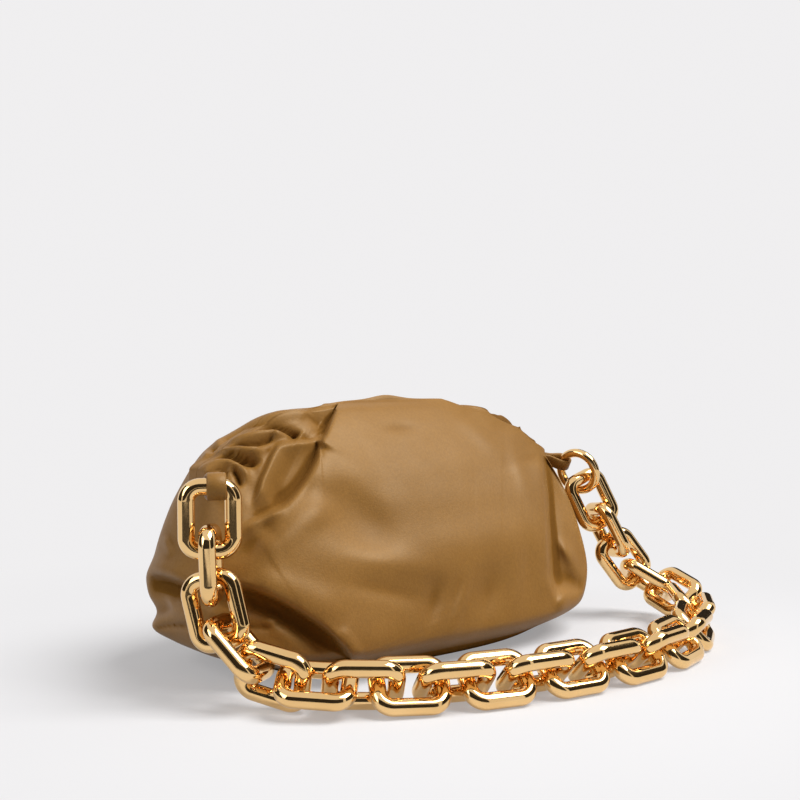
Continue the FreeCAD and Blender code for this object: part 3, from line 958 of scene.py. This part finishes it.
def wall_depth(side, x, z, inset):
    """Depth of the pouch's plain wall, less the inset, at places across and up."""
    levels = np.array(POUCH_LEVELS[1:])
    heights = levels[:, HEIGHT]
    width = smooth(heights, levels[:, HALF_WIDTH], z) - inset
    depth = smooth(heights, levels[:, DEPTH_COLUMN[side]], z) - inset
    power = smooth(heights, levels[:, SQUARENESS], z)
    return depth * np.maximum(1 - np.abs(x / width) ** power, 0) ** (1 / power)


def pocket_grid():
    """Patch on the lining's rear wall, with its upper edge turned over as a hem."""
    across = np.linspace(-1, 1, POCKET_COLUMNS)
    upward = np.concatenate([np.linspace(0, 1, POCKET_ROWS), [POCKET_HEM_SHARE, 1.0]])
    hem = [POCKET_INSET - POCKET_HEM / 2, POCKET_INSET - POCKET_HEM]
    inset = np.concatenate([np.full(POCKET_ROWS, POCKET_INSET), hem])
    grid = np.zeros((len(upward), len(across), 3))
    for i, (share, deep) in enumerate(zip(upward, inset)):
        x = POCKET_HALF_WIDTH * across
        z = POCKET_FOOT + (POCKET_TOP - POCKET_FOOT) * share - POCKET_SAG * share ** 4 * (1 - across ** 2)
        bulge = POCKET_BULGE * share ** 2 * (1 - across ** 2)
        grid[i] = np.stack([x, wall_depth(1, x, z, deep + bulge), z], axis=1)
    return grid


pocket = grid_piece("slip_pocket_patch", pocket_grid(), True, suede)
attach(pocket, "bag")
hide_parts("slip_pocket")

# Leather tabs: a strap wound round the first link's upper bar and another round the ring
LEFT_BAR_WAY = np.array([0.8874, -0.4610, 0.0030])
LEFT_BAR_SHIFT = 3.5
LEFT_BAR = np.array([-156.667, -48.617, 117.127]) + LEFT_BAR_SHIFT * LEFT_BAR_WAY
LEFT_WIRE = 9.3
RING_CENTRE = np.array([157.24, -23.96, 105.84])
RING_UP = np.array([-0.3024, 0.3035, 0.9036])
RING_ACROSS = np.array([0.1416, -0.9231, 0.3575])
RING_RADIUS = 13.9
RING_HOLD = math.radians(40)
RIGHT_BAR = RING_CENTRE + RING_RADIUS * (math.cos(RING_HOLD) * RING_UP - math.sin(RING_HOLD) * RING_ACROSS)
RIGHT_BAR_WAY = math.sin(RING_HOLD) * RING_UP + math.cos(RING_HOLD) * RING_ACROSS
RIGHT_WIRE = 6.2
TAB_ROOT_X = 134.0
TAB_ROOT_Z = {-1: 113.0, 1: 117.0}
TAB_WIDTH = {-1: 10.5, 1: 8.0}
TAB_THICKNESS = 2.3
TAB_CLEARANCE = 0.6
TAB_EDGE_ROUND = 0.7
TAB_LOOP_END = 0.75  # 1 ends the loop where a straight strap touches it, less ends it earlier
TAB_PLY_SHARE = 0.55  # half distance of the strap's two layers, in thicknesses
TAB_SPREAD = (0.5, 1.0)  # shares of the strap between which the layers part
LOOP_STEPS = 28
STRAP_STEPS = 16


def tab_path(bar, bar_way, wire, root):
    """Middle line of a strap: from its root, round the bar, and back under itself to the root."""
    radius = wire / 2 + TAB_CLEARANCE + TAB_THICKNESS / 2
    way = root - bar
    way = way - bar_way * (way @ bar_way)
    length = np.linalg.norm(way)
    way /= length
    lift = np.cross(bar_way, way)
    if lift[2] < 0:
        lift = -lift
    opening = math.acos(radius * TAB_LOOP_END / length)
    path = []
    for angle in np.linspace(opening, 2 * math.pi - opening, LOOP_STEPS):
        path.append(bar + (way * math.cos(angle) + lift * math.sin(angle)) * radius)
    apart = TAB_THICKNESS * TAB_PLY_SHARE
    loop_half = np.linalg.norm(path[0] - path[-1]) / 2
    upper = []
    lower = []
    for t in np.linspace(0, 1, STRAP_STEPS, endpoint=False):
        middle = root + ((path[0] + path[-1]) / 2 - root) * t
        half = apart + (loop_half - apart) * ease(*TAB_SPREAD, t)
        upper.append(middle + lift * half)
        lower.append(middle - lift * half)
    return np.array(upper + path + lower[::-1])


def tab_piece(name, bar, bar_way, wire, side):
    """Strap with rounded edges, swept along its middle line."""
    bar_way = bar_way / np.linalg.norm(bar_way)
    root = np.array([side * TAB_ROOT_X, 0.0, TAB_ROOT_Z[side]])
    path = tab_path(bar, bar_way, wire, root)
    along = np.gradient(path, axis=0)
    along /= np.linalg.norm(along, axis=1, keepdims=True)
    out = np.cross(along, bar_way)
    half = TAB_WIDTH[side] / 2
    thick = TAB_THICKNESS / 2
    corner = TAB_EDGE_ROUND
    outline = ((-half, -thick + corner), (-half + corner, -thick), (half - corner, -thick),
               (half, -thick + corner), (half, thick - corner), (half - corner, thick),
               (-half + corner, thick), (-half, thick - corner))
    rings = [path + bar_way * across + out * deep for across, deep in outline]
    rings.append(rings[0])
    return grid_piece(name, np.stack(rings), False, leather)


for name, bar, bar_way, wire, side in (
    ("left_tab", LEFT_BAR, LEFT_BAR_WAY, LEFT_WIRE, -1),
    ("right_tab", RIGHT_BAR, RIGHT_BAR_WAY, RIGHT_WIRE, 1),
):
    piece = tab_piece(name + "_strap", bar, bar_way, wire, side)
    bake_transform(piece)
    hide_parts(name)

# Floor: it takes the bag's shadow, and glows ever more like the background with the distance from the bag.
# FLOOR_BOUNCE is its colour for the light that it throws back.
BACKGROUND = (0.870, 0.860, 0.868)
FLOOR_COLOUR = (0.74, 0.735, 0.745)
FLOOR_BOUNCE = (0.36, 0.355, 0.35)
FLOOR_REACH = 8.0
FLOOR_FADE_START = 0.16
FLOOR_FADE_END = 0.44
FLOOR_LEAST_GLOW = 0.35
FLOOR_ROUGHNESS = 0.9
FLOOR_SPECULAR = 0.1


def sight_factor(tree):
    """1 for rays from the camera, from gloss and through glass, else 0."""
    rays = add(tree, "ShaderNodeLightPath").outputs
    kinds = ("Is Camera Ray", "Is Glossy Ray", "Is Transmission Ray")
    return reckoned(tree, "MAXIMUM", *(rays[kind] for kind in kinds))


def mix_to_output(tree, factor, first, second, output):
    """Two shaders mixed by a factor, as the tree's surface."""
    both = add(tree, "ShaderNodeMixShader")
    for socket, source in zip(both.inputs, (factor, first, second)):
        tree.links.new(source, socket)
    tree.links.new(both.outputs[0], tree.nodes[output].inputs["Surface"])


def floor_material():
    material, tree, shader = material_tree("pale_floor")
    seen = sight_factor(tree)
    tree.links.new(mixed(tree, seen, (*FLOOR_BOUNCE, 1), (*FLOOR_COLOUR, 1)), shader.inputs["Base Color"])
    shader.inputs["Roughness"].default_value = FLOOR_ROUGHNESS
    shader.inputs["Specular IOR Level"].default_value = FLOOR_SPECULAR
    place = add(tree, "ShaderNodeNewGeometry").outputs["Position"]
    length = add(tree, "ShaderNodeVectorMath", operation="LENGTH")
    tree.links.new(place, length.inputs[0])
    fade = add(tree, "ShaderNodeMapRange", interpolation_type="SMOOTHSTEP")
    fade.inputs["From Min"].default_value = FLOOR_FADE_START
    fade.inputs["From Max"].default_value = FLOOR_FADE_END
    fade.inputs["To Min"].default_value = FLOOR_LEAST_GLOW
    tree.links.new(length.outputs["Value"], fade.inputs["Value"])
    factor = reckoned(tree, "MULTIPLY", fade.outputs["Result"], seen)
    glow = add(tree, "ShaderNodeEmission", Color=(*BACKGROUND, 1))
    mix_to_output(tree, factor, shader.outputs[0], glow.outputs[0], "Material Output")
    return material


def flat_piece(name, corners, material):
    """One-face piece of the set."""
    mesh = bpy.data.meshes.new(name)
    mesh.from_pydata([tuple(corner) for corner in corners], [], [tuple(range(len(corners)))])
    mesh.materials.append(material)
    piece = placed(name, mesh)
    return piece


r = FLOOR_REACH
flat_piece("floor", ((-r, -r, 0), (r, -r, 0), (r, r, 0), (-r, r, 0)), floor_material())

# Dark cards round the set, seen only in the polished metal
CARD_COLOUR = (0.022, 0.018, 0.014)
CARD_HEIGHT = 2.1
CARD_FOOT = 0.10
CARDS = (
    # degrees round from the camera's own side, distance, width
    (0.0, 2.2, 4.0),
    (82.0, 2.2, 2.4),
    (-84.0, 2.2, 2.4),
    (150.0, 2.4, 1.5),
)


def card_material():
    material, _, shader = material_tree("dark_card")
    shader.inputs["Base Color"].default_value = (*CARD_COLOUR, 1)
    shader.inputs["Roughness"].default_value = 1.0
    return material


def hide_from_sight(card):
    """Leave a card to reflections only."""
    card.visible_camera = False
    card.visible_diffuse = False
    card.visible_shadow = False
    card.visible_transmission = False


card_look = card_material()
for number, (turn, distance, width) in enumerate(CARDS, 1):
    angle = CAMERA_AZIMUTH + math.radians(turn)
    way = np.array([math.sin(angle), -math.cos(angle), 0.0])
    across = np.array([math.cos(angle), math.sin(angle), 0.0])
    left = way * distance - across * width / 2
    right = way * distance + across * width / 2
    foot = np.array([0, 0, CARD_FOOT])
    head = np.array([0, 0, CARD_FOOT + CARD_HEIGHT])
    corners = (left + foot, right + foot, right + head, left + head)
    hide_from_sight(flat_piece("card_%d" % number, corners, card_look))

# One more lies on the floor in front, wider with the distance
FLOOR_CARD_NEAR = 0.42
FLOOR_CARD_FAR = 2.2
FLOOR_CARD_SPREAD = 1.0
FLOOR_CARD_HEIGHT = 0.004
way = np.array([math.sin(CAMERA_AZIMUTH), -math.cos(CAMERA_AZIMUTH), 0.0])
above = np.array([0, 0, FLOOR_CARD_HEIGHT])
outline = ((FLOOR_CARD_NEAR, -FLOOR_CARD_SPREAD), (FLOOR_CARD_NEAR, FLOOR_CARD_SPREAD),
           (FLOOR_CARD_FAR, FLOOR_CARD_SPREAD), (FLOOR_CARD_FAR, -FLOOR_CARD_SPREAD))
corners = [way * reach + RIGHT * reach * spread + above for reach, spread in outline]
hide_from_sight(flat_piece("floor_card", corners, card_look))

# Light: an even pale surround, a broad lamp overhead to the right and a weaker one to the left
SURROUND = 0.20
SURROUND_COLOUR = (1.0, 0.99, 0.985)
world = bpy.data.worlds.new("studio")
scene = bpy.context.scene
scene.world = world
world.use_nodes = True
tree = world.node_tree
soft = tree.nodes["Background"]
soft.inputs["Color"].default_value = (*SURROUND_COLOUR, 1)
soft.inputs["Strength"].default_value = SURROUND
seen = add(tree, "ShaderNodeBackground", Color=(*BACKGROUND, 1))
mix_to_output(tree, sight_factor(tree), soft.outputs[0], seen.outputs[0], "World Output")

AIM = Vector((0, 0, 0.06))
LAMPS = (
    # name, place, side, watts
    ("key", (1.00, -1.30, 2.40), 1.7, 102.0),
    ("fill", (-2.2, 0.2, 1.3), 1.4, 20.0),
)
for name, place, size, watts in LAMPS:
    data = bpy.data.lights.new(name, "AREA")
    data.energy = watts
    data.size = size
    lamp = placed(name, data)
    lamp.location = place
    lamp.rotation_euler = (AIM - Vector(place)).to_track_quat("-Z", "Y").to_euler()

camera_data = bpy.data.cameras.new("camera")
camera_data.lens = CAMERA_LENS
camera_data.sensor_width = SENSOR_WIDTH
camera = placed("camera", camera_data)
camera.location = CAMERA_PLACE
camera.rotation_euler = (math.pi / 2 - CAMERA_PITCH, 0, CAMERA_AZIMUTH)
scene.camera = camera
scene.view_settings.view_transform = "Standard"
